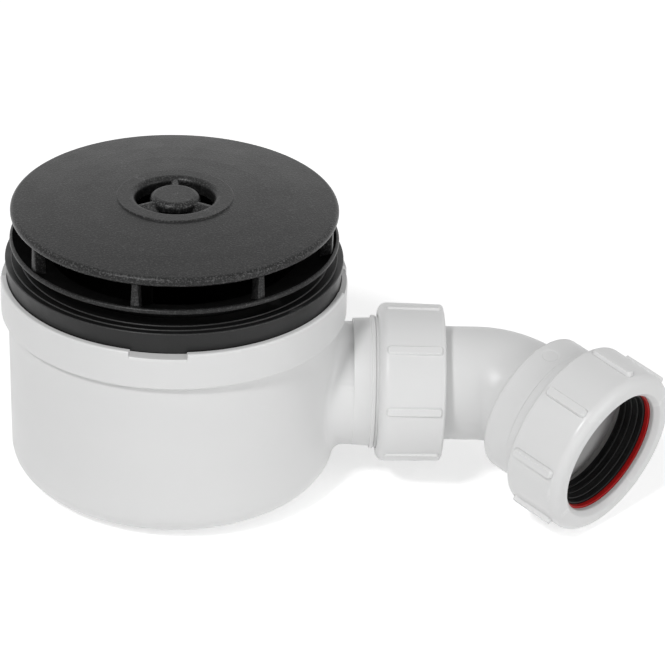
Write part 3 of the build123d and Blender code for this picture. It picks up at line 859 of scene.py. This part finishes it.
# faces of the dish and throat that get the painted-shade finish
def inDish(radius, height, angle):
    onDish = radius < flange["dishRadius"] - flange["dishSlack"]
    return (onDish and height > dishHeight(radius) - flange["dishSkin"]) or radius < flange["throat"] + nearly


def makeFin():
    middle = fin["outer"] - fin["length"] / 2
    foot = roundedBox(middle, fin["length"], fin["foot"], fin["round"], 0)
    return toMesh(loft([
        [(x, y, dishHeight(x) - fin["root"]) for x, y, z in foot],
        [(x, y * fin["waist"], dishHeight(x) + fin["waistRise"]) for x, y, z in foot],
        roundedBox(middle, fin["length"], fin["top"], fin["round"], cover["under"]),
    ]), "flangeFin")


flangeMeshes = [
    spunMesh("flangeRing", flangeOutline(), evenAngles(flange["columns"]), inside=inDish),
    repeatAround(makeFin(), fin["copies"], fin["turn"], blackFinish),
]
makePiece(
    "clampFlange", flangeMeshes, upright, flangeFinish, "flange", "clamp_flange", dishShadeFinish,
)

# lift-off cover: a thin dome with a raised ring, a finger hole and a knob on three webs
knob = {
    "radius": 8.3, "rise": 0.3, "head": 3.2, "round": 2.0, "neck": 6.8, "neckRound": 1.0, "edge": 0.4,
    "rowStep": 1.5, "columns": 96,
}
web = {
    "copies": 3, "turn": 91.0, "top": 2.4, "foot": 7.0, "drop": 0.7, "round": 0.9, "bury": 1.0,
    "footCorner": 0.3, "corner": 0.25, "steps": 6, "arc": 80.0, "draft": 0.5,
}
leg = {
    "copies": 3, "turn": 14.0, "angle": 14.0, "wall": 2.2, "bottom": 74.0, "play": 0.35, "bury": 1.0,
    "heel": 0.4, "toe": 1.0, "steps": 14,
}


def coverOutline():
    return profile(cover, [
        ("hole", recessTop, "holeUnder"), ("recess", recessTop, "recessRound"),
        ("recess", "under", "recessEdge"), ("radius", "under", "edgeRound"),
        ("radius", coverTop, "edgeRound"), ("kneeRadius", coverTop + cover["kneeRise"], "kneeRound"),
        ("bossRadius", coverTop + cover["dome"], "bossFoot"), ("bossRadius", bossTop, "bossRound"),
        ("hole", bossTop, "holeRound"),
    ], cover["rowStep"])


def knobOutline():
    top = bossTop + knob["rise"]
    under = top - knob["head"]
    return profile(knob, [
        (0, recessTop), ("neck", recessTop, "edge"), ("neck", under, "neckRound"),
        ("radius", under, "edge"), ("radius", top, "round"), (0, top),
    ], knob["rowStep"])


def makeWeb():
    top = bossTop - web["drop"]
    near = knob["neck"] - web["bury"]
    far = cover["hole"] + web["bury"]
    rows = [(far - near, web["foot"], web["footCorner"], recessTop)]
    for k in range(web["steps"] + 1):
        share = k / web["steps"]
        swing = radians(web["arc"] * share)
        width = web["top"] + 2 * web["round"] * (cos(swing) - 1) + web["draft"] * (1 - share)
        height = top - web["round"] * (1 - sin(swing))
        rows.append((far - near, width, web["corner"], height))
    return boxLoft("coverWeb", (near + far) / 2, rows)


def makeLeg():
    outer = flange["throat"] - leg["play"]
    inner = outer - leg["wall"]
    root = recessTop + leg["bury"]
    corners = [(inner, "bottom", "heel"), (outer, "bottom", "toe"), (outer, root), (inner, root)]
    half = radians(leg["angle"]) / 2
    angles = [-half + 2 * half * k / leg["steps"] for k in range(leg["steps"] + 1)]
    outline = roundedOutline(sized(leg, corners))
    # every face of a leg gets the painted-shade finish, so the leg stays dark in the slot
    bm, rings = spin(outline, angles, whole=False, inside=lambda radius, height, angle: True)
    for end in (0, -1):
        bm.faces.new([ring[end] for ring in rings])
    return toMesh(bm, "coverLeg")


coverMeshes = [
    spunMesh("coverDisc", coverOutline(), evenAngles(cover["columns"])),
    spunMesh("coverKnob", knobOutline(), evenAngles(knob["columns"])),
    repeatAround(makeWeb(), web["copies"], web["turn"], blackFinish),
    repeatAround(makeLeg(), leg["copies"], leg["turn"], blackFinish),
]
makePiece("liftCover", coverMeshes, upright, blackFinish, "flange", "top_cover", dishShadeFinish)

# the two ribbed nuts: each is one sector with a rib in its middle, repeated around
unionNut = {
    "start": 68.8, "end": 91.0, "rearRadius": 27.1, "frontRadius": 26.6, "rearRound": 3.2, "frontRound": 1.2,
    "bore": 22.55, "boreRound": 0.6, "lip": 3.7, "skin": 23.8, "copies": 8, "turn": 37.5,
    "mouth": 19.65, "leadIn": ((0, 0),), "leadRound": 0.5,
    "rib": {"radius": 27.6, "width": 3.2, "start": 71.3, "end": 89.9},
}
pipeNut = {
    "start": 27.5, "end": 49.0, "rearRadius": 30.05, "frontRadius": 29.75, "rearRound": 1.2, "frontRound": 3.4,
    "bore": 24.85, "boreRound": 0.6, "lip": 3.1, "skin": 26.2, "copies": 8, "turn": -16.0,
    "mouth": 22.1, "leadIn": ((1.7, 0), (0, 1.7)), "leadRound": 1.0,
    "rib": {"radius": 31.4, "width": 3.4, "start": 29.5, "end": 45.7},
}
grip = {  # what the ribs of both nuts share
    "corner": 1.2, "edge": 0.45, "foot": 0.1, "margin": 0.25, "columns": 16, "openColumns": 7, "rowStep": 0.3,
}


def gripAngles(nut):
    half = pi / nut["copies"]
    ribSide = (nut["rib"]["width"] / 2 + grip["foot"] + grip["margin"]) / nut["rib"]["radius"]
    right = [ribSide * k / grip["columns"] for k in range(grip["columns"] + 1)]
    openStep = (half - ribSide) / grip["openColumns"]
    right += [ribSide + openStep * k for k in range(1, grip["openColumns"] + 1)]
    return [-a for a in reversed(right[1:])] + right


def gripShape(nut):
    rib = nut["rib"]
    middle = (rib["start"] + rib["end"]) / 2
    halfLength = (rib["end"] - rib["start"]) / 2 - grip["corner"]
    halfWidth = rib["width"] / 2 - grip["corner"]

    def shape(radius, height, angle):
        if radius < nut["skin"]:
            return radius, height
        along = abs(height - middle) - halfLength
        across = abs(angle) * rib["radius"] - halfWidth
        corner = hypot(max(along, 0), max(across, 0))
        outside = corner + min(max(along, across), 0) - grip["corner"]
        rise = smoothStep(grip["foot"], -grip["edge"], outside)
        return radius + max(0.0, rib["radius"] - radius) * rise, height

    return shape


def makeNut(nut, name):
    lip = nut["end"] - nut["lip"]
    corners = [
        ("bore", "start", "boreRound"), ("rearRadius", "start", "rearRound"),
        ("frontRadius", "end", "frontRound"),
    ]
    corners += [(nut["mouth"] + out, nut["end"] - back, nut["leadRound"]) for out, back in nut["leadIn"]]
    corners += [(nut["mouth"], lip), (nut["bore"], lip)]
    outline = profile(nut, corners, grip["rowStep"], nut["skin"])
    sector = spunMesh(name, outline, gripAngles(nut), shape=gripShape(nut), whole=False)
    return repeatAround(sector, nut["copies"], nut["turn"], whiteFinish)


unionMesh = makeNut(unionNut, "unionSector")
makePiece("unionNut", [unionMesh], outletFrame, whiteFinish, "union nut", "union_nut")
endMesh = makeNut(pipeNut, "pipeNutSector")
makePiece("pipeNut", [endMesh], pipeFrame, whiteFinish, "compression nut", "compression_nut")

# outlet bend: a tube on a bent axis with a flange at one end and the pipe socket at the other
bend = {
    "tube": 19.3, "wall": 2.3, "columns": 160, "rowStep": 1.3,
    "flangeStart": 84.2, "flangeThickness": 2.8, "flangeRadius": 21.8, "flangeEdge": 0.3, "flangeRound": 0.5,
    "socketStart": 12.5, "socketRadius": 24.9, "socketFoot": 0.7, "rearRound": 1.2,
    "socketFloor": 30.0, "socketStep": 2.0, "socketEnd": 42.0, "socketBore": 22.4, "endRound": 0.6,
    "boreRound": 0.4, "floorSlack": 0.1,
    "beadStart": 22.8, "beadWidth": 3.2, "beadRadius": 25.4, "beadFoot": 0.25, "beadRound": 0.4,
    "threadRadius": 24.5, "threadFoot": 0.2,
}
mouldMark = {  # the round mould mark sunk in the socket's side
    "place": 18.0, "turn": -90.0, "radius": 3.0, "depth": 0.2, "ramp": 0.35, "skin": 1.0,
    "step": 0.2, "margin": 0.4, "rows": 34,
}
bendReach = outlet["bendRadius"] * tan(radians(outlet["bendAngle"]) / 2)
bendStraight = outlet["corner"] - bendReach - bend["flangeStart"]
bendArc = outlet["bendRadius"] * radians(outlet["bendAngle"])
bendBore = bend["tube"] - bend["wall"]
markTurn = radians(mouldMark["turn"])
markReach = mouldMark["radius"] + mouldMark["margin"]


def pipeRun(place):  # a place along the pipe axis from the corner, as a distance along the bent axis
    return bendStraight + bendArc + place - bendReach


def bentAxis(run):
    start = Vector((bend["flangeStart"], 0, outlet["height"]))
    along = Vector((1, 0, 0))
    if run <= bendStraight:
        return axisFrame(start + along * run, bendSide, along)
    swing = min(run - bendStraight, bendArc) / outlet["bendRadius"]
    hub = start + along * bendStraight + bendSide * outlet["bendRadius"]
    outward = along * sin(swing) - bendSide * cos(swing)
    ahead = along * cos(swing) + bendSide * sin(swing)
    beyond = max(0.0, run - bendStraight - bendArc)
    return axisFrame(hub + outward * outlet["bendRadius"] + ahead * beyond, -outward, ahead)


def markShape(radius, run, angle):
    if radius < bend["tube"] + mouldMark["skin"] or run < pipeRun(bend["socketStart"]):
        return radius, run
    off = (angle - markTurn + pi) % fullTurn - pi
    away = hypot(off * bend["socketRadius"], run - pipeRun(mouldMark["place"]))
    sunk = smoothStep(mouldMark["radius"], mouldMark["radius"] - mouldMark["ramp"], away)
    return radius - mouldMark["depth"] * sunk, run


def bendAngles(digits=5):
    angles = set(round(a, digits) for a in evenAngles(bend["columns"]))
    reach = round(markReach / mouldMark["step"])
    for k in range(-reach, reach + 1):
        angles.add(round((markTurn + k * mouldMark["step"] / bend["socketRadius"]) % fullTurn, digits))
    return sorted(angles)


def bendOutline():
    socketStart, socketEnd = pipeRun(bend["socketStart"]), pipeRun(bend["socketEnd"])
    beadStart, beadEnd = pipeRun(bend["beadStart"]), pipeRun(bend["beadStart"] + bend["beadWidth"])
    markLow = pipeRun(mouldMark["place"] - markReach)
    markStep = 2 * markReach / mouldMark["rows"]
    corners = [
        (bendBore, 0), ("flangeRadius", 0, "flangeEdge"),
        ("flangeRadius", "flangeThickness", "flangeRound"), ("tube", "flangeThickness", "flangeRound"),
        ("tube", socketStart, "socketFoot"), ("socketRadius", socketStart, "rearRound"),
    ]
    corners += [(bend["socketRadius"], markLow + markStep * k) for k in range(mouldMark["rows"] + 1)]
    corners += [
        ("socketRadius", beadStart, "beadFoot"), ("beadRadius", beadStart, "beadRound"),
        ("beadRadius", beadEnd, "beadRound"), ("threadRadius", beadEnd, "threadFoot"),
        ("threadRadius", socketEnd, "endRound"), ("socketBore", socketEnd, "boreRound"),
        ("socketBore", pipeRun(bend["socketFloor"] + bend["socketStep"])),
        (bendBore, pipeRun(bend["socketFloor"])),
    ]
    return profile(bend, corners, bend["rowStep"])


# faces of the bore and socket that get the painted-shade finish
def inBendBore(radius, run, angle):
    inSocket = run > pipeRun(bend["socketFloor"]) - bend["floorSlack"] and radius < bend["socketBore"] + nearly
    return inSocket or radius < bendBore + nearly


bendMesh = spunMesh("bendTube", bendOutline(), bendAngles(), shape=markShape, path=bentAxis, inside=inBendBore)
makePiece("outletBend", [bendMesh], upright, whiteFinish, "bend", "outlet_bend", boreShadeFinish)

# slip washer and ribbed pipe seal inside the socket's mouth
pipeSeal = {
    "start": 34.7, "step": 42.0, "end": 43.95, "bore": 20.9, "tip": 19.5, "inSocket": 22.2, "outer": 24.3,
    "edgeRound": 0.4, "heelRound": 1.0, "ridges": 3, "ridgeRadius": 0.35, "ridgeSteps": 8, "columns": 160,
}
washer = {"bore": 21.6, "thickness": 1.7, "round": 0.25, "columns": 160}


def washerOutline():
    outer, start = pipeSeal["outer"], pipeSeal["end"]
    end = start + washer["thickness"]
    around = (("bore", start), (outer, start), (outer, end), ("bore", end))
    return profile(washer, [corner + ("round",) for corner in around])


def pipeSealOutline():
    length = pipeSeal["end"] - pipeSeal["start"]
    outline = profile(pipeSeal, [
        ("tip", "start", "edgeRound"), ("inSocket", "start", "heelRound"), ("inSocket", "step"),
        ("outer", "step"), ("outer", "end"), ("bore", "end", "edgeRound"),
    ])
    for i in range(pipeSeal["ridges"]):
        share = (i + 1) / (pipeSeal["ridges"] + 1)
        radius = pipeSeal["bore"] - (pipeSeal["bore"] - pipeSeal["tip"]) * share
        middle = Vector((radius, pipeSeal["end"] - length * share))
        outline += arcPoints(middle, pipeSeal["ridgeRadius"], 90, pipeSeal["ridgeSteps"])
    return outline


washerMesh = spunMesh("washerRing", washerOutline(), evenAngles(washer["columns"]))
makePiece("slipWasher", [washerMesh], pipeFrame, redFinish, "bend", "slip_washer")
pipeSealMesh = spunMesh("pipeSealRing", pipeSealOutline(), evenAngles(pipeSeal["columns"]))
makePiece("pipeSeal", [pipeSealMesh], pipeFrame, pipeSealFinish, "bend", "pipe_seal")

# hidden pieces keep their CAD shape and take the finishes
innerFinish = {
    "seal_cup": whiteFinish, "dip_tube": dishShadeFinish, "dip_tube_ring": rubberFinish, "union_seal": rubberFinish,
}
for node, finish in innerFinish.items():
    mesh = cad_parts[node].data
    mesh.materials.clear()
    mesh.materials.append(finish)
print("inner pieces finished:", len(innerFinish))

# floor: the trap leans on its pipe nut and on the far edge of its base
stage = {
    "half": 3.0, "baseEdge": 45.6, "gap": 0.2, "floorColour": 0.96, "floorRough": 0.9, "floorSpecular": 0.1,
    "backGlow": 0.50, "worldStrength": 0.35,
}


def seenDirectly(tree):  # 1 for what the camera sees, straight or by a gloss or through glass
    ray = addNode(tree, "ShaderNodeLightPath")
    total = ray.outputs["Is Camera Ray"]
    for kind in ("Is Glossy Ray", "Is Transmission Ray"):
        both = addNode(tree, "ShaderNodeMath", operation="MAXIMUM")
        tree.links.new(total, both.inputs[0])
        tree.links.new(ray.outputs[kind], both.inputs[1])
        total = both.outputs[0]
    return total


def makeFloor():
    low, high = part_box("compression_nut")
    nutFoot = Vector(((low.x + high.x) / 2, (low.y + high.y) / 2, low.z))
    away = Vector((nutFoot.x, nutFoot.y, 0)).normalized()
    baseFoot = -away * stage["baseEdge"] * mm
    slope = (nutFoot - baseFoot).normalized()
    level = Vector((-away.y, away.x, 0))
    under = baseFoot - slope.cross(level) * stage["gap"] * mm
    bm = bmesh.new()
    ends = ((-1, -1), (1, -1), (1, 1), (-1, 1))
    bm.faces.new([bm.verts.new(under + (slope * x + level * y) * stage["half"]) for x, y in ends])
    mesh = meshFrom(bm, "floorSheet")
    sheet = addObject("floorSheet", mesh)
    finish, tree, shader = newMaterial("paperSweep", {
        "Base Color": grey(stage["floorColour"]) + (1,), "Roughness": stage["floorRough"],
        "Specular IOR Level": stage["floorSpecular"], "Emission Color": (1, 1, 1, 1),
    })
    glow = multiply(tree, stage["backGlow"])
    tree.links.new(seenDirectly(tree), glow.inputs[0])
    wire(tree, (glow, 0, shader, "Emission Strength"))
    mesh.materials.append(finish)
    print("floor: leans from", [round(v, 4) for v in baseFoot], "to", [round(v, 4) for v in nutFoot])


makeFloor()

# light: a soft key from above and a little left, a fill from the right, a low front lamp and a white tent
lamps = {
    "key": {"toward": (-0.35, -0.59, 0.73), "away": 2.6, "size": 0.40, "watts": 26.0},
    "fill": {"toward": (0.80, -0.52, 0.30), "away": 1.3, "size": 0.7, "watts": 3.2},
    "low": {"toward": (0.26, -0.96, 0.10), "away": 1.2, "size": 0.9, "watts": 1.0},
}
lampAim = Vector((0.05, 0, 0.045))


def makeLights():
    world = bpy.data.worlds.new("tent")
    bpy.context.scene.world = world
    world.use_nodes = True
    tree = world.node_tree
    back = tree.nodes["Background"]
    setInputs(back, {"Color": (1, 1, 1, 1)})
    seen = addNode(tree, "ShaderNodeMapRange", {"To Min": stage["worldStrength"], "To Max": 1.0})
    tree.links.new(seenDirectly(tree), seen.inputs["Value"])
    wire(tree, (seen, 0, back, "Strength"))
    for name, lamp in lamps.items():
        light = bpy.data.lights.new(name, "AREA")
        light.shape = "DISK"
        light.size = lamp["size"]
        light.energy = lamp["watts"]
        holder = addObject(name, light)
        toward = Vector(lamp["toward"]).normalized()
        holder.location = lampAim + toward * lamp["away"]
        holder.rotation_euler = (-toward).to_track_quat("-Z", "Y").to_euler()
    print("lights:", len(lamps), "lamps and the tent")


makeLights()

# camera: a long lens from the front, above, rolled a little as the trap leans
view = {
    "place": (17.8, -887.5, 534.8), "aim": (53.99, 15.41, 40.49), "rollDeg": -2.05,
    "lens": 162.4, "sensor": 36.0, "clipStart": 10.0,
}


def makeCamera():
    lens = bpy.data.cameras.new("photoView")
    lens.lens = view["lens"]
    lens.sensor_width = view["sensor"]
    lens.clip_start = view["clipStart"] * mm
    holder = addObject("photoView", lens)
    place = Vector(view["place"]) * mm
    facing = Vector(view["aim"]) * mm - place
    roll = Matrix.Rotation(radians(-view["rollDeg"]), 4, "Z")
    turn = facing.to_track_quat("-Z", "Y").to_matrix().to_4x4() @ roll
    holder.matrix_world = Matrix.Translation(place) @ turn
    bpy.context.scene.camera = holder
    print("camera: lens", view["lens"], "mm")


makeCamera()
bpy.context.scene.view_settings.view_transform = "Standard"
